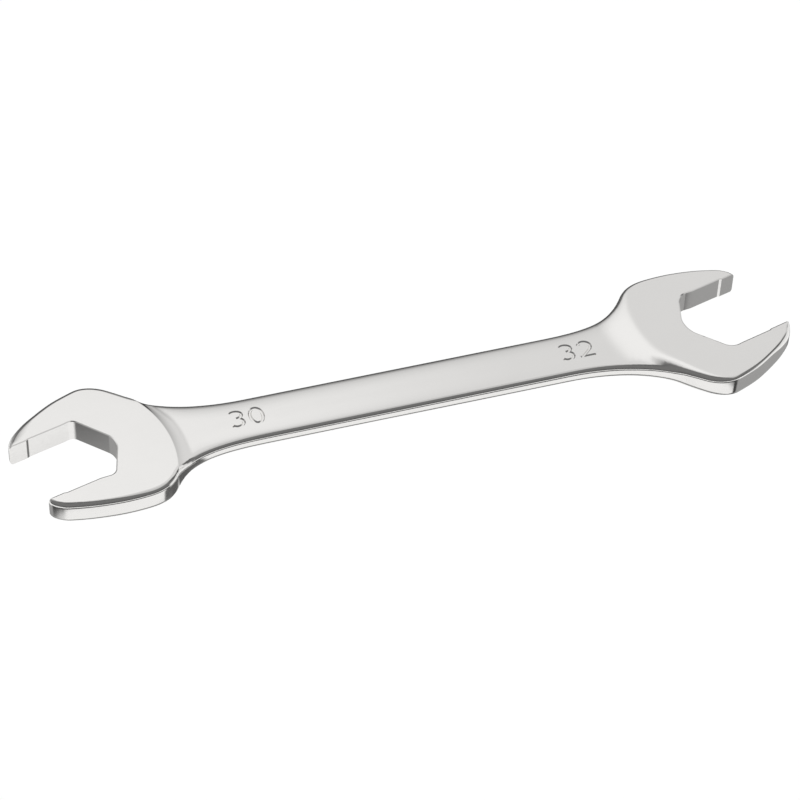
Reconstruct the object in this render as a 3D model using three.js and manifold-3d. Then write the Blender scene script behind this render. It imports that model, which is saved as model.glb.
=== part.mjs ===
// Double open-end wrench for 30 mm and 32 mm nuts, forged in one piece.
// Millimetres. x runs along the shank from the 30 head to the 32 head, z is up.
import * as THREE from 'three';
import { mergeVertices } from 'three/addons/utils/BufferGeometryUtils.js';
import Module from 'manifold-3d';

const wasm = await Module();
wasm.setup();

// Shank, the thinner bar between the heads
const shankWidth = 21.3;
const shankThickness = 6.6;
const shankEdgeRound = 2.9;

// Sizes that both heads share
const headThickness = 9.7;
const nutCentreX = 131;       // each nut centre from the middle of the shank
const nutCentreSide = 2.7;    // and to the side of the shank's axis
const jawAngle = THREE.MathUtils.degToRad(15);

// Raised head faces end in an arc, and a hollow fillet runs from it to the shank
const faceArcRadius = 49;
const faceArcAlong = 12.5;    // arc centre from the nut centre, towards the mouth
const faceArcAside = -2.9;    // and towards the long jaw
const sideFade = 9;           // past the fillet, the sides thin down to the shank's rounded edge

// Jaw openings: a narrow land at each tip, then a slightly wider flat for the nut
const nutFit = 0.2;           // how much wider than the nut the mouth is
const landStep = 0.35;        // the flats lie this much deeper than the lands
const landRamp = 1.4;
const landStartShare = 0.7;   // where a land ends, as a share of half the mouth
const reliefStartShare = 0.25;  // where the flats turn to their corners, behind the nut centre
const longCornerRelief = 0.25;
const shortCornerRelief = 0.9;
const throatRelief = 1.5;     // spare depth behind the nut on the short jaw's side
const cornerRadius = 3;
const throatRadius = 7;

// Necks, where the outline sweeps from a head into the shank
const longNeckStart = 62;     // from the middle of the shank
const shortNeckStart = 56;
const neckLeave = 13;         // how strongly the curve follows the head,
const neckArrive = 17;        // and the shank

// Stamped size numbers
const digitHeight = 8.5;
const digitWidth = 4.4;       // between the middles of the strokes
const digitStroke = 1.15;
const digitGap = 3.4;
const waistShare = 0.46;      // how far below the top the upper bowl of a digit ends
const bowlEndShare = 0.8;     // how far round an open bowl runs, in half turns
const twoStartShare = 0.88;
const twoEndShare = -0.12;
const stampDepth = 0.35;

// The 30 mm head
const smallNut = 30;            // across the flats
const smallLongHalf = 30.1;     // nut centre to the side of the longer jaw
const smallShortHalf = 31.5;    // and of the shorter jaw
const smallLongBack = 31;       // nut centre to the back of the head, on the longer jaw's side
const smallShortBack = 31;      // and on the shorter jaw's side
const smallLongReach = 18.2;    // nut centre to the tip of the longer jaw
const smallShortReach = 17.4;   // and of the shorter jaw
const smallEdgeRound = 2.1;     // rounding of the rims
const smallFilletRadius = 5;    // hollow below the face arc
const smallNumberX = -63.1;     // middle of the size number, from the middle of the shank

// The 32 mm head
const largeNut = 32;
const largeLongHalf = 31.1;
const largeShortHalf = 32.2;
const largeLongBack = 31.2;
const largeShortBack = 32.5;
const largeLongReach = 18.8;
const largeShortReach = 15.9;
const largeEdgeRound = 1.4;
const largeFilletRadius = 12;
const largeNumberX = 68.4;

// turn tells which end of the shank a head is on
const heads = [
  {
    turn: -1, nut: smallNut, longHalf: smallLongHalf, shortHalf: smallShortHalf,
    longBack: smallLongBack, shortBack: smallShortBack,
    longReach: smallLongReach, shortReach: smallShortReach, edgeRound: smallEdgeRound,
    filletRadius: smallFilletRadius, numberX: smallNumberX,
  },
  {
    turn: 1, nut: largeNut, longHalf: largeLongHalf, shortHalf: largeShortHalf,
    longBack: largeLongBack, shortBack: largeShortBack,
    longReach: largeLongReach, shortReach: largeShortReach, edgeRound: largeEdgeRound,
    filletRadius: largeFilletRadius, numberX: largeNumberX,
  },
];

// Head outline, from the mouth to the neck. The first number is a share of the jaw's reach ahead
// of the nut centre and of its back behind it, the second is a share of that side's half width.
const longSideShares = [
  [0.96, 0.30], [1.0, 0.51], [0.84, 0.67], [0.53, 0.786], [0.15, 0.87], [-0.17, 0.952],
  [-0.42, 0.992], [-0.58, 0.997], [-0.72, 0.943], [-0.84, 0.845], [-0.94, 0.715], [-1.03, 0.585],
];
const shortSideShares = [
  [0.95, 0.30], [1.0, 0.51], [0.83, 0.645], [0.55, 0.735], [0.15, 0.83], [-0.18, 0.92],
  [-0.42, 0.977], [-0.62, 1.003], [-0.77, 0.987], [-0.88, 0.94], [-0.97, 0.875],
];

// Mesh fineness, and how far a cutting tool runs past what it cuts
const outlineStep = 3.2;
const roundSteps = 4;
const filletSteps = 5;
const arcSteps = 96;
const cornerSteps = 5;
const strokeSteps = 28;
const overrun = 5;
const mergeDistance = 1e-4;

// A geometry with its seams closed, before it is moved into place
function closed(geometry) {
  geometry.deleteAttribute('normal');
  geometry.deleteAttribute('uv');
  return mergeVertices(geometry, mergeDistance);
}

// A closed geometry as a solid that can be joined and cut
function toSolid(geometry) {
  const index = geometry.index.array;
  const triangles = [];
  for (let i = 0; i < index.length; i += 3) {
    const [a, b, c] = [index[i], index[i + 1], index[i + 2]];
    if (a !== b && b !== c && c !== a) triangles.push(a, b, c);
  }
  const vertProperties = geometry.attributes.position.array;
  const triVerts = new Uint32Array(triangles);
  return new wasm.Manifold(new wasm.Mesh({ numProp: 3, vertProperties, triVerts }));
}

function toGeometry(solid) {
  const mesh = solid.getMesh();
  const geometry = new THREE.BufferGeometry();
  geometry.setAttribute('position', new THREE.BufferAttribute(mesh.vertProperties, 3));
  geometry.setIndex(new THREE.BufferAttribute(mesh.triVerts, 1));
  return geometry;
}

// A point given from a head's nut centre, along the mouth and towards the long jaw
function place(head, along, aside) {
  const x = nutCentreX + along * Math.cos(jawAngle) + aside * Math.sin(jawAngle);
  const y = nutCentreSide + along * Math.sin(jawAngle) - aside * Math.cos(jawAngle);
  return new THREE.Vector2(head.turn * x, head.turn * y);
}

// One side of a head, from the mouth to the start of the neck
function headSide(head, isLong) {
  const shares = isLong ? longSideShares : shortSideShares;
  const reach = isLong ? head.longReach : head.shortReach;
  const back = isLong ? head.longBack : head.shortBack;
  const half = isLong ? head.longHalf : -head.shortHalf;
  return shares.map(([along, aside]) => place(head, along * (along > 0 ? reach : back), aside * half));
}

// The two pulls that bend a neck from the head's outline into the shank's edge
function neckPulls(head, side, shankPoint) {
  const [before, last] = side.slice(-2);
  const leave = last.clone().sub(before).setLength(neckLeave).add(last);
  const arrive = shankPoint.clone().add(new THREE.Vector2(head.turn * neckArrive, 0));
  return [leave, arrive];
}

// The wrench seen from above, with the mouths still filled
function outlinePoints() {
  const [left, right] = heads;
  const outline = new THREE.Path();
  const start = headSide(left, true)[0];
  outline.moveTo(start.x, start.y);
  for (const [from, to, edge] of [[left, right, 1], [right, left, -1]]) {
    const away = headSide(from, true);
    const shankStart = new THREE.Vector2(from.turn * longNeckStart, edge * shankWidth / 2);
    const shankEnd = new THREE.Vector2(to.turn * shortNeckStart, edge * shankWidth / 2);
    const towards = headSide(to, false);
    if (from === right) outline.lineTo(away[0].x, away[0].y);
    outline.splineThru(away.slice(1));
    const [leaveA, arriveA] = neckPulls(from, away, shankStart);
    outline.bezierCurveTo(leaveA.x, leaveA.y, arriveA.x, arriveA.y, shankStart.x, shankStart.y);
    outline.lineTo(shankEnd.x, shankEnd.y);
    const [leaveB, arriveB] = neckPulls(to, towards, shankEnd);
    const neckEnd = towards[towards.length - 1];
    outline.bezierCurveTo(arriveB.x, arriveB.y, leaveB.x, leaveB.y, neckEnd.x, neckEnd.y);
    outline.splineThru(towards.slice(0, -1).reverse());
  }
  outline.closePath();
  return outline.getSpacedPoints(Math.round(outline.getLength() / outlineStep)).slice(0, -1);
}

// A flat slab with rounded rims, centred on the middle plane
function slab(points, thickness, edgeRound) {
  const geometry = closed(new THREE.ExtrudeGeometry(new THREE.Shape(points), {
    depth: thickness - 2 * edgeRound, steps: 1, bevelEnabled: true, bevelSegments: roundSteps,
    bevelThickness: edgeRound, bevelSize: edgeRound, bevelOffset: -edgeRound,
  }));
  geometry.translate(0, 0, edgeRound - thickness / 2);
  return toSolid(geometry);
}

// A disc that keeps a head's full thickness and hollows down to the shank outside its arc
function faceDisc(head) {
  const drop = (headThickness - shankThickness) / 2;
  const run = Math.sqrt(2 * head.filletRadius * drop - drop * drop);
  const top = headThickness / 2 + overrun;
  const profile = [new THREE.Vector2(0, top), new THREE.Vector2(faceArcRadius, top)];
  for (let i = 0; i <= filletSteps; i++) {
    const back = run * (1 - i / filletSteps);
    const rise = head.filletRadius - Math.sqrt(head.filletRadius ** 2 - back ** 2);
    profile.push(new THREE.Vector2(faceArcRadius + run - back, shankThickness / 2 + rise));
  }
  profile.push(new THREE.Vector2(faceArcRadius + run + sideFade, shankThickness / 2 - shankEdgeRound));
  const lower = profile.map((p) => new THREE.Vector2(p.x, -p.y));
  const geometry = closed(new THREE.LatheGeometry([...lower, ...profile.reverse()], arcSteps));
  geometry.rotateX(Math.PI / 2);
  const centre = place(head, faceArcAlong, faceArcAside);
  geometry.translate(centre.x, centre.y, 0);
  return toSolid(geometry);
}

// The corners of one jaw opening, each with the radius that rounds it. The two throat faces
// slant like the next two sides of the hexagon.
function jawCorners(head) {
  const land = (head.nut + nutFit) / 2;
  const flat = land + landStep;
  const mouth = head.longReach + overrun;
  const rampEnd = landStartShare * land;
  const rampStart = rampEnd - landRamp;
  const reliefStart = -reliefStartShare * land;
  const longCorner = flat + longCornerRelief;
  const shortCorner = flat + shortCornerRelief;
  const longFace = land;
  const shortFace = land + throatRelief;
  const slant = Math.PI / 6;
  const cornerX = (face, corner) => -(face - corner * Math.sin(slant)) / Math.cos(slant);
  return [
    [mouth, land, 0], [rampEnd, land, 0], [rampStart, flat, 0], [reliefStart, flat, 0],
    [cornerX(longFace, longCorner), longCorner, cornerRadius],
    [-(longFace + shortFace) / (2 * Math.cos(slant)), longFace - shortFace, throatRadius],
    [cornerX(shortFace, shortCorner), -shortCorner, cornerRadius],
    [reliefStart, -flat, 0], [rampStart, -flat, 0], [rampEnd, -land, 0], [mouth, -land, 0],
  ];
}

// A closed path through the corners, each rounded by an arc that touches both edges
function roundedShape(corners) {
  const shape = new THREE.Shape();
  corners.forEach(([point, radius], i) => {
    const toPrevious = corners.at(i - 1)[0].clone().sub(point).normalize();
    const toNext = corners[(i + 1) % corners.length][0].clone().sub(point).normalize();
    const halfAngle = Math.acos(toPrevious.dot(toNext)) / 2;
    const trim = radius / Math.tan(halfAngle);
    const enter = point.clone().addScaledVector(toPrevious, trim);
    if (i === 0) shape.moveTo(enter.x, enter.y);
    else shape.lineTo(enter.x, enter.y);
    if (radius === 0) return;
    const middle = toPrevious.clone().add(toNext).normalize();
    const centre = point.clone().addScaledVector(middle, radius / Math.sin(halfAngle));
    const leave = point.clone().addScaledVector(toNext, trim);
    const from = enter.clone().sub(centre).angle();
    const to = leave.clone().sub(centre).angle();
    shape.absarc(centre.x, centre.y, radius, from, to, toPrevious.cross(toNext) > 0);
  });
  return shape;
}

// The opening of one head as a cutting tool through the whole thickness
function jawOpening(head) {
  const corners = jawCorners(head).map(([along, aside, radius]) => [place(head, along, aside), radius]);
  const depth = headThickness + 2 * overrun;
  const settings = { depth, bevelEnabled: false, curveSegments: cornerSteps };
  const geometry = closed(new THREE.ExtrudeGeometry(roundedShape(corners), settings));
  geometry.translate(0, 0, -depth / 2);
  return toSolid(geometry);
}

// A straight stroke, which runs past both points by half its width
function bar(x0, y0, x1, y1) {
  const past = new THREE.Vector2(x1 - x0, y1 - y0).setLength(digitStroke / 2);
  const line = new THREE.Path();
  line.moveTo(x0 - past.x, y0 - past.y);
  line.lineTo(x1 + past.x, y1 + past.y);
  return line;
}

// A bowed stroke: part of a digit's oval, clockwise, with its ends in shares of a half turn
function bow(y, halfHeight, fromShare, toShare) {
  const line = new THREE.Path();
  line.absellipse(0, y, digitWidth / 2, halfHeight, fromShare * Math.PI, toShare * Math.PI, true);
  return line;
}

function ring(y, halfHeight) {
  const line = new THREE.Path();
  line.absellipse(0, y, digitWidth / 2, halfHeight, 0, 2 * Math.PI);
  return line;
}

// The strokes of each digit, whose middle lines fill a box of twice w by twice h
function digitLines(digit) {
  const w = digitWidth / 2;
  const h = (digitHeight - digitStroke) / 2;
  const upperHalf = waistShare * h;
  const lowerHalf = h - upperHalf;
  const upperY = h - upperHalf;
  const lowerY = lowerHalf - h;
  const topBar = bar(-w, h, w, h);
  const two = new THREE.Path();
  two.absarc(0, h - w, w, twoStartShare * Math.PI, twoEndShare * Math.PI, true);
  two.lineTo(-w, -h);
  return [
    [ring(0, h)],
    [bar(0, -h, 0, h), bar(0, h, -w / 2, h - w / 2)],
    [two, bar(-w, -h, w, -h)],
    [bow(upperY, upperHalf, bowlEndShare, -1 / 2), bow(lowerY, lowerHalf, 1 / 2, -bowlEndShare)],
    [bar(w / 2, -h, w / 2, h), bar(w / 2, h, -w, -h / 2), bar(-w, -h / 2, w, -h / 2)],
    [topBar, bar(-w, h, -w, lowerY), bow(lowerY, lowerHalf, 1, -bowlEndShare)],
    [ring(lowerY, lowerHalf), bar(-w, lowerY, -w, upperY), bow(upperY, upperHalf, 1, 1 - bowlEndShare)],
    [topBar, bar(w, h, 0, -h)],
    [ring(upperY, upperHalf), ring(lowerY, lowerHalf)],
    [ring(upperY, upperHalf), bar(w, upperY, w, lowerY), bow(lowerY, lowerHalf, 0, -bowlEndShare)],
  ][digit];
}

// A band of the stroke's width along a middle line, which is a ring or has two ends
function strokeBand(line) {
  const shares = Array.from({ length: strokeSteps + 1 }, (_, i) => i / strokeSteps);
  const sides = [1, -1].map((side) => shares.map((share) => {
    const along = line.getTangentAt(share);
    const across = new THREE.Vector2(-along.y, along.x);
    return line.getPointAt(share).addScaledVector(across, side * digitStroke / 2);
  }));
  const isRing = line.getPoint(0).distanceTo(line.getPoint(1)) < digitStroke;
  if (!isRing) return new THREE.Shape([...sides[0], ...sides[1].reverse()]);
  const ring = new THREE.Shape(sides[1].slice(0, -1));
  ring.holes.push(new THREE.Path(sides[0].slice(0, -1)));
  return ring;
}

// The digits of a size number as a cutting tool in the shank's upper face
function sizeNumber(head) {
  const pitch = digitWidth + digitGap;
  const digits = [...Math.round(head.nut).toString()];
  const middle = (digits.length - 1) / 2;
  const settings = { depth: stampDepth + overrun, bevelEnabled: false };
  const strokes = digits.flatMap((digit, i) => digitLines(digit).map((line) => {
    const geometry = closed(new THREE.ExtrudeGeometry(strokeBand(line), settings));
    geometry.translate(head.numberX + (i - middle) * pitch, 0, shankThickness / 2 - stampDepth);
    return toSolid(geometry);
  }));
  return wasm.Manifold.union(strokes);
}

// The forging: thick heads joined by the thinner shank, with both mouths and the numbers cut
function wrenchBody() {
  const points = outlinePoints();
  let body = slab(points, shankThickness, shankEdgeRound);
  for (const head of heads) {
    body = body.add(slab(points, headThickness, head.edgeRound).intersect(faceDisc(head)));
  }
  for (const head of heads) {
    body = body.subtract(jawOpening(head)).subtract(sizeNumber(head));
  }
  return toGeometry(body);
}

function satinChrome() {
  return new THREE.MeshStandardMaterial({ color: 0xd6d6d4, metalness: 1, roughness: 0.28 });
}

// The origin is under the middle of the wrench, on the surface that it lies on
const body = new THREE.Mesh(wrenchBody(), satinChrome());
body.name = 'wrench_body';
body.geometry.computeBoundingBox();
const { min, max } = body.geometry.boundingBox;
body.position.set(-(min.x + max.x) / 2, -(min.y + max.y) / 2, -min.z);

const group = new THREE.Group();
group.add(body);
export default group;
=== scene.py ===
from math import atan2, cos, degrees, hypot, pi, radians, sin, sqrt, tan

import bmesh
import bpy
from mathutils import Euler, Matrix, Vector


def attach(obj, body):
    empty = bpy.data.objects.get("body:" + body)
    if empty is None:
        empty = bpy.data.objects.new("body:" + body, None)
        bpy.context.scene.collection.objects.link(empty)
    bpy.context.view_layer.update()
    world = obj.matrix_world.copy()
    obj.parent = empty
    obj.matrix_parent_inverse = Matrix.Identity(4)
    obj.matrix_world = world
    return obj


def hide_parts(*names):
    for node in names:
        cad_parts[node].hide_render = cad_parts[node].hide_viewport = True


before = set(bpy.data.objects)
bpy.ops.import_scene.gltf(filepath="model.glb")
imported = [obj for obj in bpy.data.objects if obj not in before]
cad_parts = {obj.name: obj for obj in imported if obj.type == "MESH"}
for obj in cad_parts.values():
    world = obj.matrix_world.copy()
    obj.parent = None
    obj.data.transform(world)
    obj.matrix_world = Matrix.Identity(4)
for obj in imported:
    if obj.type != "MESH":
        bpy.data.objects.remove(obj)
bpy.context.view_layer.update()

# The wrench, in millimetres. It is drawn about the middle of the shank and put in its place last.
wrench = {
    "shankWidth": 21.3,
    "shankThickness": 6.6,
    "shankRound": 2.1,
    "headThickness": 9.7,
    "nutX": 131.0,             # nut centres from the middle of the shank
    "nutY": 2.7,               # and to the side of its axis
    "jawAngle": radians(15),
    "longNeck": 62.0,          # where the straight part of the shank ends
    "shortNeck": 56.0,
    "neckLeave": 13.0,         # pull of the neck curve along the head
    "neckArrive": 17.0,        # and along the shank
    "arcRadius": 49.0,         # the raised face ends in this arc
    "arcAlong": 12.5,          # its centre from the nut centre
    "arcAside": -2.9,
    "curveSteps": 18,          # outline points between two knots
    # tilt of the rim's rings: a slight draft above the ground side, the rounding, a soft start
    "rimTilts": [90, 86, 82, 73, 64, 55, 46, 37, 28, 19, 13, 8, 5.5, 3, 2, 1, 0],
    "draftTilt": 82,
    "draftRadius": 4.3,
    "softTilt": 8,             # the shank's edges start to fall before they turn
    "softWidth": 1.4,
    "crownTilt": 3,            # and its faces are slightly crowned
    "crownWidth": 5.0,
    "tipAlong": (1.0, 15.0),   # the outer edges of the long jaws are rounder towards their tips
    "tipAside": (15.5, 20.0),
    "tipSoft": 1.8,
    "tipCrown": 1.2,
    "rimLedge": 0.3,           # flat ring beside the rim, so the face shades flat
    "ringTurn": 0.5,           # keeps the rings from reaching too far where the outline turns
    "zone": (76.0, 114.0),     # neck zone that gets the finer rows, from the middle
    "browRows": 8,             # rows over the brow of the face arc
    "hollowRows": 16,          # and down the hollow behind it
    "hollowCrowd": 1.3,        # above 1, the hollow's rows stand closer near the brow
    "arcHalf": 32.0,           # the columns reach this far to both sides of the arc's middle
    "arcSpacing": 0.9,         # and are this wide
    "sharpTurn": radians(16),  # edges that turn more than this look sharp
    "slack": 0.001,            # allowance when places are compared
    "weld": 0.0001,            # points closer than this become one
    "place": (-0.2716, 0.4708, 4.85),  # the middle of the shank in the frame
    "metres": 0.001,
}

# What differs between the two heads. Half is the width to that jaw's side, reach the length in
# front of the nut's centre and back the length behind it.
heads = [
    {
        "turn": -1, "nut": 30.0, "longHalf": 30.1, "shortHalf": 31.5, "longBack": 31.0, "shortBack": 31.0,
        "longReach": 18.2, "shortReach": 17.4, "rimRound": 2.1, "tipRound": 0.7, "landStart": 0.73,
        "cornerRound": 3.0, "throatRound": 7.0,
        "browReach": 0.18, "stepAngles": (28, 44), "stepSides": (0, 16), "stepShift": 0.0, "stepPower": 2.2,
        "numberX": -63.45, "growFrom": 46.0, "growTo": 62.0,
    },
    {
        "turn": 1, "nut": 32.0, "longHalf": 31.1, "shortHalf": 32.2, "longBack": 31.2, "shortBack": 32.5,
        "longReach": 18.8, "shortReach": 15.9, "rimRound": 1.4, "tipRound": 1.5, "landStart": 0.62,
        "cornerRound": 5.0, "throatRound": 10.0,
        "browReach": 2.4, "stepAngles": (11, 29), "stepSides": (3, 19), "stepShift": 1.6, "stepPower": 2,
        "numberX": 67.9, "growFrom": 40.0, "growTo": 62.0,
    },
]

# Knots down each side of a head, from the tip to the neck: share of the reach or, where it is
# negative, of the back, then share of the half width
longSide = [
    (0.96, 0.30), (1.0, 0.51), (0.84, 0.67), (0.53, 0.786), (0.15, 0.87), (-0.17, 0.952),
    (-0.42, 0.992), (-0.58, 0.997), (-0.72, 0.943), (-0.84, 0.845), (-0.94, 0.715), (-1.03, 0.585),
]
shortSide = [
    (0.95, 0.30), (1.0, 0.51), (0.83, 0.645), (0.55, 0.735), (0.15, 0.83), (-0.18, 0.92),
    (-0.42, 0.977), (-0.62, 1.003), (-0.77, 0.987), (-0.88, 0.94), (-0.97, 0.875),
]

# The jaw openings
mouth = {
    "nutFit": 0.2,
    "landStep": 0.35,          # the flats are this much deeper than the lands at the tips
    "landRamp": 1.0,
    "reliefStart": 0.25,       # share of half the mouth, behind the nut's centre
    "longRelief": 0.25,        # how much deeper the inner corners are than the flats
    "shortRelief": 0.9,
    "throatRelief": 1.5,       # and the throat on the short jaw's side
    "throatSlant": radians(30),
    "arcSteps": 10,
    "edgeWide": 0.45,          # broken edge round the opening
    "edgeDeep": 0.2,
    "past": 5.0,               # the cutter reaches this far past the wrench
    "level": 0.9,              # faces whose normal rises more than this are the cutter's ends
}

# The stamped size numbers
stamp = {
    "height": 9.1,
    "width": 4.8,
    "stroke": 1.35,            # width of a stroke at the surface
    "floor": 0.5,              # and at its bottom
    "depth": 0.56,
    "above": 0.4,              # the cutter's height over the surface
    "gap": 3.0,
    "waist": 0.46,             # the upper bowl's share of the 3
    "bowlEnd": 0.8,            # ends of the curves, in half turns
    "twoStart": 0.88,
    "twoEnd": -0.25,
    "bowlPieces": 4,
    "curlPieces": 3,
    "curveSteps": 12,
}


def newObject(name, data):
    thing = bpy.data.objects.new(name, data)
    bpy.context.scene.collection.objects.link(thing)
    return thing


def toObject(name, bm):
    mesh = bpy.data.meshes.new(name)
    bm.to_mesh(mesh)
    bm.free()
    return newObject(name, mesh)


def finalMesh(thing):
    # what a curve, or an object with modifiers, looks like as a plain mesh
    bpy.context.view_layer.update()
    return bpy.data.meshes.new_from_object(thing.evaluated_get(bpy.context.evaluated_depsgraph_get()))


def only(geom, kind):
    return [part for part in geom if isinstance(part, kind)]


def headAt(x):
    return heads[0] if x < 0 else heads[1]


def headPoint(head, along, aside):
    # a point of the head, along it from the nut's centre and towards its long jaw
    angle = wrench["jawAngle"]
    x = wrench["nutX"] + along * cos(angle) + aside * sin(angle)
    y = wrench["nutY"] + along * sin(angle) - aside * cos(angle)
    return Vector((head["turn"] * x, head["turn"] * y, 0))


def headPlace(head, x, y):
    # the other way round, from a place on the wrench
    angle = wrench["jawAngle"]
    x, y = head["turn"] * x - wrench["nutX"], head["turn"] * y - wrench["nutY"]
    return x * cos(angle) + y * sin(angle), x * sin(angle) - y * cos(angle)


def sideKnots(head, isLong):
    reach = head["longReach"] if isLong else head["shortReach"]
    back = head["longBack"] if isLong else head["shortBack"]
    half = head["longHalf"] if isLong else -head["shortHalf"]
    shares = longSide if isLong else shortSide
    return [headPoint(head, a * (reach if a > 0 else back), b * half) for a, b in shares]


def smoothRun(points):
    # knots of a smooth line through the points, each as place, handle before, handle after.
    # A handle is a sixth of the way from the point before to the point after.
    run = []
    for i, point in enumerate(points):
        slope = (points[min(i + 1, len(points) - 1)] - points[max(i - 1, 0)]) / 6
        run.append([point, point - slope, point + slope])
    return run


def outlineKnots():
    left, right = heads
    knots = []
    for start, end, edge in ((left, right, 1), (right, left, -1)):
        half = edge * wrench["shankWidth"] / 2
        away = smoothRun(sideKnots(start, True))
        towards = smoothRun(sideKnots(end, False))
        first = Vector((start["turn"] * wrench["longNeck"], half, 0))
        last = Vector((end["turn"] * wrench["shortNeck"], half, 0))
        pull = Vector((wrench["neckArrive"], 0, 0))
        for run in (away, towards):
            leave = (run[-1][0] - run[-2][0]).normalized() * wrench["neckLeave"]
            run[-1][2] = run[-1][0] + leave
        knots += away
        knots.append([first, first + start["turn"] * pull, first.lerp(last, 1 / 3)])
        knots.append([last, last.lerp(first, 1 / 3), last + end["turn"] * pull])
        knots += [[place, after, before] for place, before, after in reversed(towards)]
    # straight lines across both mouths, where one half of the outline ends and the other starts
    for i in (len(knots) // 2 - 1, -1):
        knot, after = knots[i], knots[i + 1]
        knot[2] = knot[0].lerp(after[0], 1 / 3)
        after[1] = after[0].lerp(knot[0], 1 / 3)
    return knots


def curveMesh(name, knots, steps, cyclic, section=None):
    curve = bpy.data.curves.new(name, "CURVE")
    curve.dimensions = "2D" if section else "3D"
    curve.resolution_u = steps
    if section:
        curve.fill_mode = "NONE"
        curve.bevel_mode = "OBJECT"
        curve.bevel_object = section
        curve.use_fill_caps = not cyclic
    spline = curve.splines.new("BEZIER")
    spline.bezier_points.add(len(knots) - 1)
    spline.use_cyclic_u = cyclic
    for point, (place, before, after) in zip(spline.bezier_points, knots):
        point.handle_left_type = point.handle_right_type = "FREE"
        point.co, point.handle_left, point.handle_right = place, before, after
    thing = newObject(name, curve)
    mesh = finalMesh(thing)
    bpy.data.objects.remove(thing)
    bpy.data.curves.remove(curve)
    return mesh


def easeShare(value, start, end):
    # 0 before the start, 1 past the end, and smooth between them
    share = min(max((value - start) / (end - start), 0), 1)
    return share * share * (3 - 2 * share)


def arcCentre(head):
    return headPoint(head, wrench["arcAlong"], wrench["arcAside"])


def stepProfile(head, side):
    # the rounded brow of the face arc, then a hollow that fades out on the shank. The step is
    # steeper towards the long jaw, and starts earlier there.
    share = easeShare(side, *head["stepSides"])
    start = wrench["arcRadius"] - head["browReach"] - head["stepShift"] * share
    flat, steep = head["stepAngles"]
    angle = radians(flat + (steep - flat) * share)
    brow = head["browReach"] / tan(angle / 2)
    drop = (wrench["headThickness"] - wrench["shankThickness"]) / 2
    browDrop = brow * (1 - cos(angle))
    fade = head["stepPower"] * (drop - browDrop) / tan(angle)
    return start, brow, brow * sin(angle), drop - browDrop, fade


def topHeight(x, y):
    # height of the upper face, without its rim
    head = headAt(x)
    along, aside = headPlace(head, x, y)
    start, brow, browRun, hollowDrop, fade = stepProfile(head, aside - wrench["arcAside"])
    s = hypot(along - wrench["arcAlong"], aside - wrench["arcAside"]) - start
    high = wrench["headThickness"] / 2
    if s <= 0:
        return high
    if s < browRun:
        return high - brow + sqrt(brow ** 2 - s * s)
    left = max(1 - (s - browRun) / fade, 0)
    return wrench["shankThickness"] / 2 + hollowDrop * left ** head["stepPower"]


def rimSection(x, y):
    # offset inwards and drop below the face of each ring, at this place on the outline
    head = headAt(x)
    centre = arcCentre(head)
    share = easeShare(hypot(x - centre.x, y - centre.y), head["growFrom"], head["growTo"])
    along, aside = headPlace(head, x, y)
    tip = easeShare(along, *wrench["tipAlong"]) * easeShare(aside, *wrench["tipAside"])
    radius = head["rimRound"] + (wrench["shankRound"] - head["rimRound"]) * share + head["tipRound"] * tip
    softTilt, crownTilt = radians(wrench["softTilt"]), radians(wrench["crownTilt"])
    softWidth = share * wrench["softWidth"] + tip * wrench["tipSoft"]
    crownWidth = share * wrench["crownWidth"] + tip * wrench["tipCrown"]
    soft = max(softWidth / (sin(softTilt) - sin(crownTilt)), radius)
    crown = max(crownWidth / sin(crownTilt), radius)
    tilts = [radians(t) for t in wrench["rimTilts"]]
    offsets, rises = [0], [0]
    for above, below in zip(tilts, tilts[1:]):
        middle = (above + below) / 2
        if middle > radians(wrench["draftTilt"]):
            bend = wrench["draftRadius"]
        elif middle < crownTilt:
            bend = crown
        elif middle < softTilt:
            bend = soft
        else:
            bend = radius
        offsets.append(offsets[-1] + bend * (sin(above) - sin(below)))
        rises.append(rises[-1] + bend * (cos(below) - cos(above)))
    offsets.append(offsets[-1] + wrench["rimLedge"])
    rises.append(rises[-1])
    return offsets, [rises[-1] - rise for rise in rises]


def rimRings(bm):
    # rings from the silhouette up over the rounded rim, then the flat face
    ringNumber = bm.verts.layers.float.new("ring")
    station = bm.verts.layers.int.new("station")
    loop = list(bm.verts)
    frames = []
    for i, v in enumerate(loop):
        before = (v.co - loop[i - 1].co).normalized()
        after = (loop[(i + 1) % len(loop)].co - v.co).normalized()
        along = (before + after).normalized()
        inward = Vector((along.y, -along.x, 0)) / max(along.dot(after), wrench["ringTurn"])
        frames.append((v.co.copy(), inward, rimSection(v.co.x, v.co.y)[0]))
        v[station] = i
    ring = list(bm.edges)
    for k in range(1, len(wrench["rimTilts"]) + 1):
        made = bmesh.ops.extrude_edge_only(bm, edges=ring)["geom"]
        ring = [e for e in only(made, bmesh.types.BMEdge) if len(e.link_faces) == 1]
        for v in only(made, bmesh.types.BMVert):
            place, inward, offsets = frames[v[station]]
            v.co = place + inward * offsets[k]
            v[ringNumber] = k
    bmesh.ops.contextual_create(bm, geom=ring)
    return ringNumber


def cutAt(bm, faces, place, normal):
    geom = list({part for f in faces for part in (*f.verts, *f.edges)}) + list(faces)
    made = bmesh.ops.bisect_plane(bm, geom=geom, dist=wrench["weld"], plane_co=place, plane_no=normal)
    return set(only(made["geom_cut"], bmesh.types.BMVert))


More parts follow.
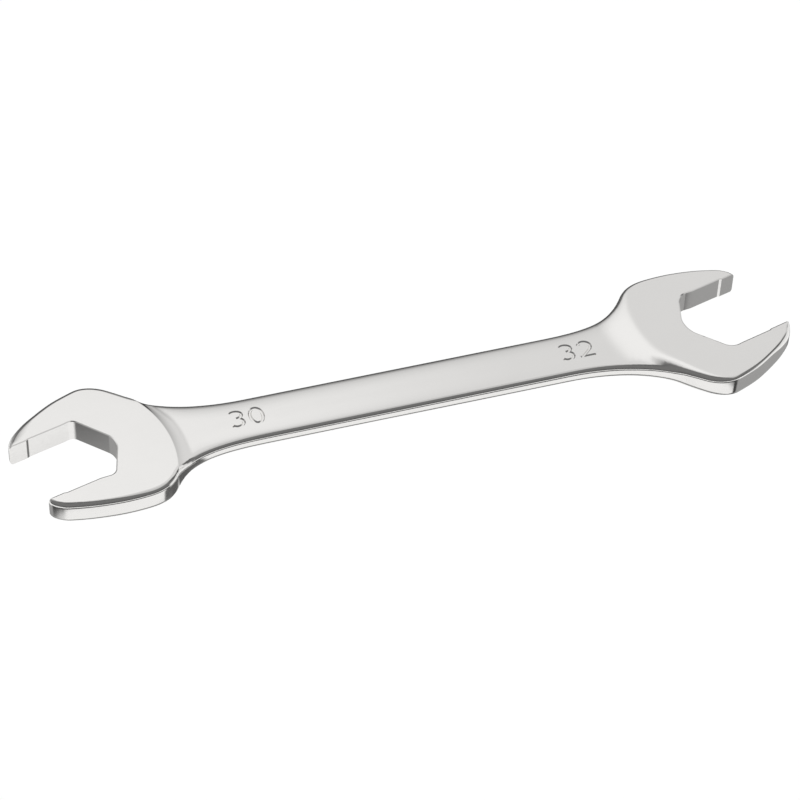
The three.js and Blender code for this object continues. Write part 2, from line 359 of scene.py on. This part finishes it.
def neckRows(bm, head, ringNumber):
    # rows along the face arc: the zone is bent straight, cut by planes and bent back
    near, far = wrench["zone"]
    slack = wrench["slack"]
    for x in (near, far):
        cutAt(bm, bm.faces, (head["turn"] * x, 0, 0), (1, 0, 0))
    centre = arcCentre(head)
    radius = wrench["arcRadius"]
    zone = {v for v in bm.verts if near - slack <= head["turn"] * v.co.x <= far + slack}
    for v in zone:
        side = v.co - centre
        v.co = (side.length, atan2(side.y, -head["turn"] * side.x) * radius, 0)
    start, brow, browRun, hollowDrop, fade = stepProfile(head, 0)
    first, hollow = start - head["stepShift"], start + browRun
    end = hollow + fade + wrench["rimLedge"]
    rows = [first - wrench["rimLedge"], first]
    browRows, hollowRows = wrench["browRows"], wrench["hollowRows"]
    rows += [first + (hollow - first) * k / browRows for k in range(1, browRows + 1)]
    rows += [hollow + fade * (k / hollowRows) ** wrench["hollowCrowd"] for k in range(1, hollowRows + 1)]
    for row in rows + [end]:
        faces = [f for f in bm.faces if all(v in zone for v in f.verts)]
        zone |= cutAt(bm, faces, (row, 0, 0), (1, 0, 0))
    last = len(wrench["rimTilts"]) - slack
    count = int(wrench["arcHalf"] / wrench["arcSpacing"])
    for k in range(-count, count + 1):
        strips = [f for f in bm.faces if all(v in zone and v[ringNumber] > last for v in f.verts)]
        strips = [f for f in strips if rows[0] < f.calc_center_median().x < end]
        zone |= cutAt(bm, strips, (0, k * wrench["arcSpacing"], 0), (0, 1, 0))
    for v in zone:
        angle = v.co.y / radius
        v.co = centre + Vector((-head["turn"] * cos(angle), sin(angle), 0)) * v.co.x


def bodyMesh():
    # the outline gets its rings and rows, each point its height, and the lower half mirrors the upper
    mesh = curveMesh("outline", outlineKnots(), wrench["curveSteps"], True)
    bm = bmesh.new()
    bm.from_mesh(mesh)
    bmesh.ops.remove_doubles(bm, verts=bm.verts, dist=wrench["slack"])
    ringNumber = rimRings(bm)
    for head in heads:
        neckRows(bm, head, ringNumber)
    for v in bm.verts:
        drops = rimSection(v.co.x, v.co.y)[1]
        k = min(int(v[ringNumber]), len(drops) - 2)
        share = v[ringNumber] - k
        v.co.z = topHeight(v.co.x, v.co.y) - drops[k] * (1 - share) - drops[k + 1] * share
    border = [e for e in bm.edges if len(e.link_faces) == 1]
    made = bmesh.ops.extrude_edge_only(bm, edges=border)["geom"]
    for v in only(made, bmesh.types.BMVert):
        v.co.z = 0
    everything = bm.verts[:] + bm.edges[:] + bm.faces[:]
    bmesh.ops.mirror(bm, geom=everything, axis="Z", merge_dist=wrench["weld"])
    bmesh.ops.remove_doubles(bm, verts=bm.verts, dist=wrench["weld"])
    bmesh.ops.recalc_face_normals(bm, faces=bm.faces)
    return bm


def corners(head):
    # the mouth's corners from the long jaw's tip to the short one's: along, aside and rounding
    land = (head["nut"] + mouth["nutFit"]) / 2
    flat = land + mouth["landStep"]
    front = head["longReach"] + mouth["past"]
    rampEnd = head["landStart"] * land
    rampStart = rampEnd - mouth["landRamp"]
    relief = -mouth["reliefStart"] * land
    longCorner = flat + mouth["longRelief"]
    shortCorner = flat + mouth["shortRelief"]
    # the throat's two faces, by their distance from the nut's centre
    longFace, shortFace = land, land + mouth["throatRelief"]
    slant = mouth["throatSlant"]

    def cornerX(face, corner):
        return -(face - corner * sin(slant)) / cos(slant)

    return [
        (front, land, 0), (rampEnd, land, 0), (rampStart, flat, 0), (relief, flat, 0),
        (cornerX(longFace, longCorner), longCorner, head["cornerRound"]),
        (-(longFace + shortFace) / (2 * cos(slant)), longFace - shortFace, head["throatRound"]),
        (cornerX(shortFace, shortCorner), -shortCorner, head["cornerRound"]),
        (relief, -flat, 0), (rampStart, -flat, 0), (rampEnd, -land, 0), (front, -land, 0),
    ]


def openingCutter(head):
    # a tall prism through the mouth, flared at both faces to break the edge
    bm = bmesh.new()
    points = [(headPoint(head, along, aside), radius) for along, aside, radius in corners(head)]
    verts = [bm.verts.new(point) for point, radius in points]
    bm.faces.new(verts)
    for i, (point, radius) in enumerate(points):
        if radius:
            before = (points[i - 1][0] - point).normalized()
            after = (points[(i + 1) % len(points)][0] - point).normalized()
            offset = radius / tan(before.angle(after) / 2)
            bmesh.ops.bevel(bm, geom=[verts[i]], offset=offset, offset_type="OFFSET",
                            segments=mouth["arcSteps"], profile=0.5, affect="VERTICES", material=-1)
    high = wrench["headThickness"] / 2 - mouth["edgeDeep"]
    bmesh.ops.recalc_face_normals(bm, faces=bm.faces)
    face = bm.faces[:][0]
    if face.normal.z < 0:
        bmesh.ops.reverse_faces(bm, faces=[face])
    made = bmesh.ops.extrude_face_region(bm, geom=[face])["geom"]
    top = only(made, bmesh.types.BMFace)[0]
    bmesh.ops.translate(bm, verts=top.verts, vec=(0, 0, 2 * high))
    bmesh.ops.translate(bm, verts=bm.verts, vec=(0, 0, -high))
    bmesh.ops.recalc_face_normals(bm, faces=bm.faces)
    ends = [f for f in bm.faces if abs(f.normal.z) > mouth["level"]]
    bmesh.ops.inset_individual(bm, faces=ends, thickness=-mouth["edgeWide"], depth=mouth["edgeDeep"],
                               use_even_offset=True)
    for end in ends:
        made = bmesh.ops.extrude_face_region(bm, geom=[end])["geom"]
        cap = only(made, bmesh.types.BMFace)[0]
        past = mouth["past"] if cap.normal.z > 0 else -mouth["past"]
        bmesh.ops.translate(bm, verts=cap.verts, vec=(0, 0, past))
        bmesh.ops.delete(bm, geom=[end], context="FACES_ONLY")
    bmesh.ops.recalc_face_normals(bm, faces=bm.faces)
    return bm


def cutAway(body, cutters):
    for cutter in cutters:
        cut = body.modifiers.new("cut", "BOOLEAN")
        cut.operation = "DIFFERENCE"
        cut.solver = "EXACT"
        cut.object = cutter
    mesh = finalMesh(body)
    body.modifiers.clear()
    body.data = mesh
    for cutter in cutters:
        bpy.data.objects.remove(cutter)


def ovalKnots(y, halfHeight, start, end, pieces):
    # part of an oval that is as wide as a digit, from start to end in half turns
    step = (end - start) * pi / pieces
    pull = 4 / 3 * tan(step / 4)
    knots = []
    for k in range(pieces + 1):
        turn = start * pi + k * step
        place = Vector((stamp["width"] / 2 * cos(turn), y + halfHeight * sin(turn), 0))
        slope = Vector((-stamp["width"] / 2 * sin(turn), halfHeight * cos(turn), 0)) * pull
        knots.append([place, place - slope, place + slope])
    return knots


def barKnots(x0, y0, x1, y1):
    # a straight stroke, longer at both ends by half its width
    first, last = Vector((x0, y0, 0)), Vector((x1, y1, 0))
    past = (last - first).normalized() * stamp["stroke"] / 2
    first, last = first - past, last + past
    return [[first, first, first.lerp(last, 1 / 3)], [last, first.lerp(last, 2 / 3), last]]


def digitStrokes(digit):
    # strokes as knots, and whether each is a closed ring
    w = stamp["width"] / 2
    h = (stamp["height"] - stamp["stroke"]) / 2
    upper = stamp["waist"] * h
    lower = h - upper
    if digit == "0":
        ring = ovalKnots(0, h, 0, 2, stamp["bowlPieces"])
        ring[0][1] = ring[-1][1]
        return [(ring[:-1], True)]
    if digit == "3":
        return [
            (ovalKnots(h - upper, upper, stamp["bowlEnd"], -1 / 2, stamp["bowlPieces"]), False),
            (ovalKnots(lower - h, lower, 1 / 2, -stamp["bowlEnd"], stamp["bowlPieces"]), False),
        ]
    # a 2: the curl runs down to the foot
    curl = ovalKnots(h - w, w, stamp["twoStart"], stamp["twoEnd"], stamp["curlPieces"])
    foot = Vector((-w, -h, 0))
    curl[-1][2] = curl[-1][0].lerp(foot, 1 / 3)
    curl.append([foot, foot.lerp(curl[-1][0], 1 / 3), foot])
    return [(curl, False), (barKnots(-w, -h, w, -h), False)]


def strokeCutter(knots, closed, x):
    # a groove with sloping sides, swept along the stroke
    above, below, floor = stamp["above"], -stamp["depth"], stamp["floor"] / 2
    slope = (stamp["stroke"] - stamp["floor"]) / 2 / stamp["depth"]
    wide = stamp["stroke"] / 2 + slope * above
    section = bpy.data.curves.new("section", "CURVE")
    line = section.splines.new("POLY")
    line.points.add(3)
    line.use_cyclic_u = True
    sides = (-floor, below), (floor, below), (wide, above), (-wide, above)
    for point, side in zip(line.points, sides):
        point.co = (*side, 0, 1)
    shape = newObject("section", section)
    mesh = curveMesh("stroke", knots, stamp["curveSteps"], closed, shape)
    bpy.data.objects.remove(shape)
    bm = bmesh.new()
    bm.from_mesh(mesh)
    bmesh.ops.remove_doubles(bm, verts=bm.verts, dist=wrench["weld"])
    bmesh.ops.recalc_face_normals(bm, faces=bm.faces)
    bmesh.ops.translate(bm, verts=bm.verts, vec=(x, 0, wrench["shankThickness"] / 2))
    return toObject("stroke", bm)


def numberCutters(head):
    pitch = stamp["width"] + stamp["gap"]
    digits = str(round(head["nut"]))
    cutters = []
    for i, digit in enumerate(digits):
        x = head["numberX"] + (i - (len(digits) - 1) / 2) * pitch
        cutters += [strokeCutter(knots, closed, x) for knots, closed in digitStrokes(digit)]
    return cutters


body = toObject("wrench", bodyMesh())
print("body", len(body.data.polygons))
cutters = [toObject("cutter", openingCutter(head)) for head in heads]
cutters += [cutter for head in heads for cutter in numberCutters(head)]
cutAway(body, cutters)
print("cut", len(body.data.polygons))

bm = bmesh.new()
bm.from_mesh(body.data)
bmesh.ops.translate(bm, verts=bm.verts, vec=wrench["place"])
bmesh.ops.scale(bm, verts=bm.verts, vec=[wrench["metres"]] * 3)
for f in bm.faces:
    f.smooth = True
for e in bm.edges:
    e.smooth = e.is_manifold and e.calc_face_angle(0) < wrench["sharpTurn"]
print("open edges", sum(not e.is_manifold for e in bm.edges))
bm.to_mesh(body.data)
bm.free()

# Satin chrome: fine polishing lines, a faint cloudiness and small dents left by the forging
chrome = {
    "colour": (0.85, 0.84, 0.825, 1),
    "cloudColour": (0.815, 0.805, 0.79, 1),
    "roughness": (0.07, 0.13),
    "cloudScale": 38,
    "cloudDetail": 3,
    "polishScale": (90, 2600, 2600),   # the polishing runs along the shank
    "polishDetail": 2,
    "polishRange": (0.35, 0.65),       # most of the noise lies between these
    "polishHeight": 0.0000012,
    "dentScale": 160,
    "dentDetail": 2,
    "dentHeight": 0.0000035,
}


def newPaint(name):
    paint = bpy.data.materials.new(name)
    paint.use_nodes = True
    return paint, paint.node_tree


def addNode(tree, kind, *inputs):
    # numbers are set on the new node's sockets, in their order, and outputs are linked to them
    node = tree.nodes.new(kind)
    for socket, value in zip(node.inputs, inputs):
        if isinstance(value, (int, float)):
            socket.default_value = value
        else:
            tree.links.new(value, socket)
    return node


def compute(tree, operation, *inputs):
    node = addNode(tree, "ShaderNodeMath", *inputs)
    node.operation = operation
    return node.outputs[0]


def satinChrome():
    paint, tree = newPaint("satinChrome")
    nodes, links = tree.nodes, tree.links
    shader = nodes["Principled BSDF"]
    shader.inputs["Metallic"].default_value = 1
    place = nodes.new("ShaderNodeTexCoord").outputs["Object"]

    def cloud(scale, detail, vector=place):
        node = nodes.new("ShaderNodeTexNoise")
        node.inputs["Scale"].default_value = scale
        node.inputs["Detail"].default_value = detail
        links.new(vector, node.inputs["Vector"])
        return node.outputs["Fac"]

    tint = nodes.new("ShaderNodeMix")
    tint.data_type = "RGBA"
    links.new(cloud(chrome["cloudScale"], chrome["cloudDetail"]), tint.inputs[0])
    tint.inputs[6].default_value = chrome["colour"]            # 6, 7 and output 2 are its colours
    tint.inputs[7].default_value = chrome["cloudColour"]
    links.new(tint.outputs[2], shader.inputs["Base Color"])
    stretch = nodes.new("ShaderNodeMapping")
    stretch.inputs["Scale"].default_value = chrome["polishScale"]
    links.new(place, stretch.inputs["Vector"])
    polish = cloud(1, chrome["polishDetail"], stretch.outputs[0])
    dents = cloud(chrome["dentScale"], chrome["dentDetail"])
    rough = addNode(tree, "ShaderNodeMapRange", polish, *chrome["polishRange"], *chrome["roughness"])
    links.new(rough.outputs[0], shader.inputs["Roughness"])
    relief = None
    for height, distance in ((polish, chrome["polishHeight"]), (dents, chrome["dentHeight"])):
        bump = nodes.new("ShaderNodeBump")
        bump.inputs["Distance"].default_value = distance
        links.new(height, bump.inputs["Height"])
        if relief:
            links.new(relief, bump.inputs["Normal"])
        relief = bump.outputs[0]
    links.new(relief, shader.inputs["Normal"])
    return paint


body.data.materials.clear()
body.data.materials.append(satinChrome())
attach(body, "root")
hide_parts("wrench_body")

# Floor, cards and light. Directions are in degrees: round from the camera's side (0) to the right
# (90), the far side (180) and the left (-90), and up from level.
studio = {
    "cameraSide": -108.85,     # the camera's side, counted from +X towards +Y
    "floorSize": 3.0,
    "floorDrop": 0.65,         # the wrench is held above the floor, as the photo has no shadow near it
    "floorColour": 0.5,
    "floorGlow": 0.51,
    "domeLight": 1.0,
    "cardDistance": 0.6,
    "cardInset": 0.02,         # each card is this share nearer than the one before
    "cardSteps": 48,
    "cardRows": 16,
    # dark cards between the wrench and the floor: round from, to, up from, to, soft sides,
    # soft top, tone
    "cards": [
        ("leftCard", -185, -20, -62, -28, 45, 8, 0.35),
        ("rightCard", 67, 175, -49, -26, 8, 5, 0.38),
        ("edgeCard", 60, 78, -49, -30, 6, 5, 0.05),
        ("neckCard", 56, 150, -78, -45, 10, 4, 0.12),
        ("farCard", 125, 235, -41, -4, 15, 5, 0.05),
        ("lowCard", -100, 110, -90, -52, 20, 8, 0.25),
        ("frontCard", -75, 80, -39, -20, 12, 5, 0.06),
    ],
    # soft panels above: middle round, middle up, half width, half height, soft sides, soft top, tone
    "panels": [
        ("left", -112, 20, 26, 25, 16, 15, 0.45),
        ("right", 112, 0, 26, 12, 14, 8, 0.92),
        ("front", 0, 46, 90, 12, 30, 40, 0.18),
        ("top", 120, 82, 65, 20, 16, 14, 0.65),
        ("back", -152, 58, 18, 9, 62, 26, 1.02),
        ("fill", 150, 50, 22, 10, 12, 70, 0.8),
    ],
    "dark": 0.11,              # what the chrome mirrors between the panels
}


def studioFloor():
    # pale under plain light, and lit up for what looks at it, directly or in the chrome
    bm = bmesh.new()
    bmesh.ops.create_grid(bm, x_segments=1, y_segments=1, size=studio["floorSize"])
    bmesh.ops.translate(bm, verts=bm.verts, vec=(0, 0, -studio["floorDrop"]))
    floor = toObject("floor", bm)
    paint, tree = newPaint("paleFloor")
    nodes, links = tree.nodes, tree.links
    diffuse = nodes["Principled BSDF"]
    diffuse.inputs["Base Color"].default_value = (*[studio["floorColour"]] * 3, 1)
    diffuse.inputs["Roughness"].default_value = 1
    diffuse.inputs["Specular IOR Level"].default_value = 0
    path = nodes.new("ShaderNodeLightPath").outputs
    seen = compute(tree, "MAXIMUM", path["Is Camera Ray"], path["Is Glossy Ray"])
    seen = compute(tree, "MAXIMUM", seen, path["Is Transmission Ray"])
    glow = nodes.new("ShaderNodeEmission")
    links.new(compute(tree, "MULTIPLY", seen, studio["floorGlow"]), glow.inputs["Strength"])
    both = addNode(tree, "ShaderNodeAddShader", diffuse.outputs[0], glow.outputs[0])
    # from below, the floor doesn't hide the wrench
    back = nodes.new("ShaderNodeNewGeometry").outputs["Backfacing"]
    clear = nodes.new("ShaderNodeBsdfTransparent")
    surface = addNode(tree, "ShaderNodeMixShader", back, both.outputs[0], clear.outputs[0])
    links.new(surface.outputs[0], nodes["Material Output"].inputs["Surface"])
    paint.cycles.emission_sampling = "NONE"
    floor.data.materials.append(paint)


def softEdge(value, start, end, width):
    return easeShare(value, start, start + width) * easeShare(end - value, 0, width)


def studioCard(distance, name, roundFrom, roundTo, upFrom, upTo, softSide, softTop, tone):
    # part of a ball round the wrench, fading out at its edges, which only the chrome sees
    bm = bmesh.new()
    soft = bm.verts.layers.float.new("soft")
    far = Vector((studio["cardDistance"] * distance, 0, 0))
    rise = (upTo - upFrom) / studio["cardRows"]
    column = []
    for row in range(studio["cardRows"] + 1):
        tilt = Euler((0, -radians(upFrom + row * rise), 0))
        column.append(bm.verts.new(tilt.to_matrix() @ far))
    edges = [bm.edges.new(pair) for pair in zip(column, column[1:])]
    turn = Euler((0, 0, radians(studio["cameraSide"] + roundFrom)))
    bmesh.ops.rotate(bm, verts=column, matrix=turn.to_matrix())
    bmesh.ops.spin(bm, geom=column + edges, axis=(0, 0, 1), angle=radians(roundTo - roundFrom),
                   steps=studio["cardSteps"])
    middle = (roundFrom + roundTo) / 2
    for v in bm.verts:
        turned = degrees(atan2(v.co.y, v.co.x)) - studio["cameraSide"] - middle
        turned = (turned + 180) % 360 - 180 + middle
        up = degrees(atan2(v.co.z, hypot(v.co.x, v.co.y)))
        v[soft] = softEdge(turned, roundFrom, roundTo, softSide) * softEdge(up, upFrom, upTo, softTop)
    card = toObject(name, bm)
    paint, tree = newPaint(name)
    nodes, links = tree.nodes, tree.links
    nodes.remove(nodes["Principled BSDF"])
    fade = nodes.new("ShaderNodeAttribute")
    fade.attribute_name = "soft"
    clear = nodes.new("ShaderNodeBsdfTransparent")
    grey = nodes.new("ShaderNodeEmission")
    grey.inputs["Strength"].default_value = tone
    blend = addNode(tree, "ShaderNodeMixShader", fade.outputs["Fac"], clear.outputs[0], grey.outputs[0])
    links.new(blend.outputs[0], nodes["Material Output"].inputs["Surface"])
    paint.cycles.emission_sampling = "NONE"
    card.data.materials.append(paint)
    card.visible_camera = card.visible_diffuse = card.visible_shadow = False
    card.visible_transmission = card.visible_volume_scatter = False


studioFloor()
for i, values in enumerate(studio["cards"]):
    studioCard(1 - i * studio["cardInset"], *values)
print("studio", len(studio["cards"]), "cards")


def studioWorld():
    # plain white light from all round, but the chrome mirrors the soft panels
    world = bpy.data.worlds.new("studio")
    world.use_nodes = True
    tree = world.node_tree
    nodes, links = tree.nodes, tree.links

    def smoothShare(value, start, end):
        node = addNode(tree, "ShaderNodeMapRange", value, radians(start), radians(end))
        node.interpolation_type = "SMOOTHSTEP"
        return node.outputs[0]

    turned = nodes.new("ShaderNodeVectorRotate")
    turned.rotation_type = "Z_AXIS"
    turned.inputs["Angle"].default_value = -radians(studio["cameraSide"])
    links.new(nodes.new("ShaderNodeTexCoord").outputs["Generated"], turned.inputs["Vector"])
    split = nodes.new("ShaderNodeSeparateXYZ")
    links.new(turned.outputs[0], split.inputs[0])
    up = compute(tree, "ARCSINE", split.outputs["Z"])
    around = compute(tree, "ARCTAN2", split.outputs["Y"], split.outputs["X"])
    tone = studio["dark"]
    for name, middleRound, middleUp, halfWidth, halfHeight, softSide, softTop, bright in studio["panels"]:
        aside = compute(tree, "SUBTRACT", around, radians(middleRound))
        aside = compute(tree, "ABSOLUTE", compute(tree, "WRAP", aside, pi, -pi))
        above = compute(tree, "ABSOLUTE", compute(tree, "SUBTRACT", up, radians(middleUp)))
        inWidth = smoothShare(aside, halfWidth + softSide, halfWidth)
        inHeight = smoothShare(above, halfHeight + softTop, halfHeight)
        blend = nodes.new("ShaderNodeMix")
        blend.label = name
        links.new(compute(tree, "MULTIPLY", inWidth, inHeight), blend.inputs[0])
        if isinstance(tone, float):
            blend.inputs[2].default_value = tone
        else:
            links.new(tone, blend.inputs[2])
        blend.inputs[3].default_value = bright
        tone = blend.outputs[0]
    mirrored = nodes["Background"]
    links.new(tone, mirrored.inputs["Color"])
    dome = nodes.new("ShaderNodeBackground")
    dome.inputs["Color"].default_value = (1, 1, 1, 1)
    dome.inputs["Strength"].default_value = studio["domeLight"]
    glossy = nodes.new("ShaderNodeLightPath").outputs["Is Glossy Ray"]
    choose = addNode(tree, "ShaderNodeMixShader", glossy, dome.outputs[0], mirrored.outputs[0])
    links.new(choose.outputs[0], nodes["World Output"].inputs["Surface"])
    return world


bpy.context.scene.world = studioWorld()
bpy.context.scene.view_settings.view_transform = "Standard"
print("world", len(studio["panels"]), "panels")

# The camera stands where the photo was taken from
viewpoint = {
    "lens": 135.03,
    "sensor": 36,
    "place": (-0.261594, -0.756754, 0.821081),
    "turn": (44.25783, -1.56569, -17.24452),
}
camera = bpy.data.cameras.new("camera")
camera.lens = viewpoint["lens"]
camera.sensor_width = viewpoint["sensor"]
view = newObject("camera", camera)
view.location = viewpoint["place"]
view.rotation_euler = [radians(turn) for turn in viewpoint["turn"]]
bpy.context.scene.camera = view
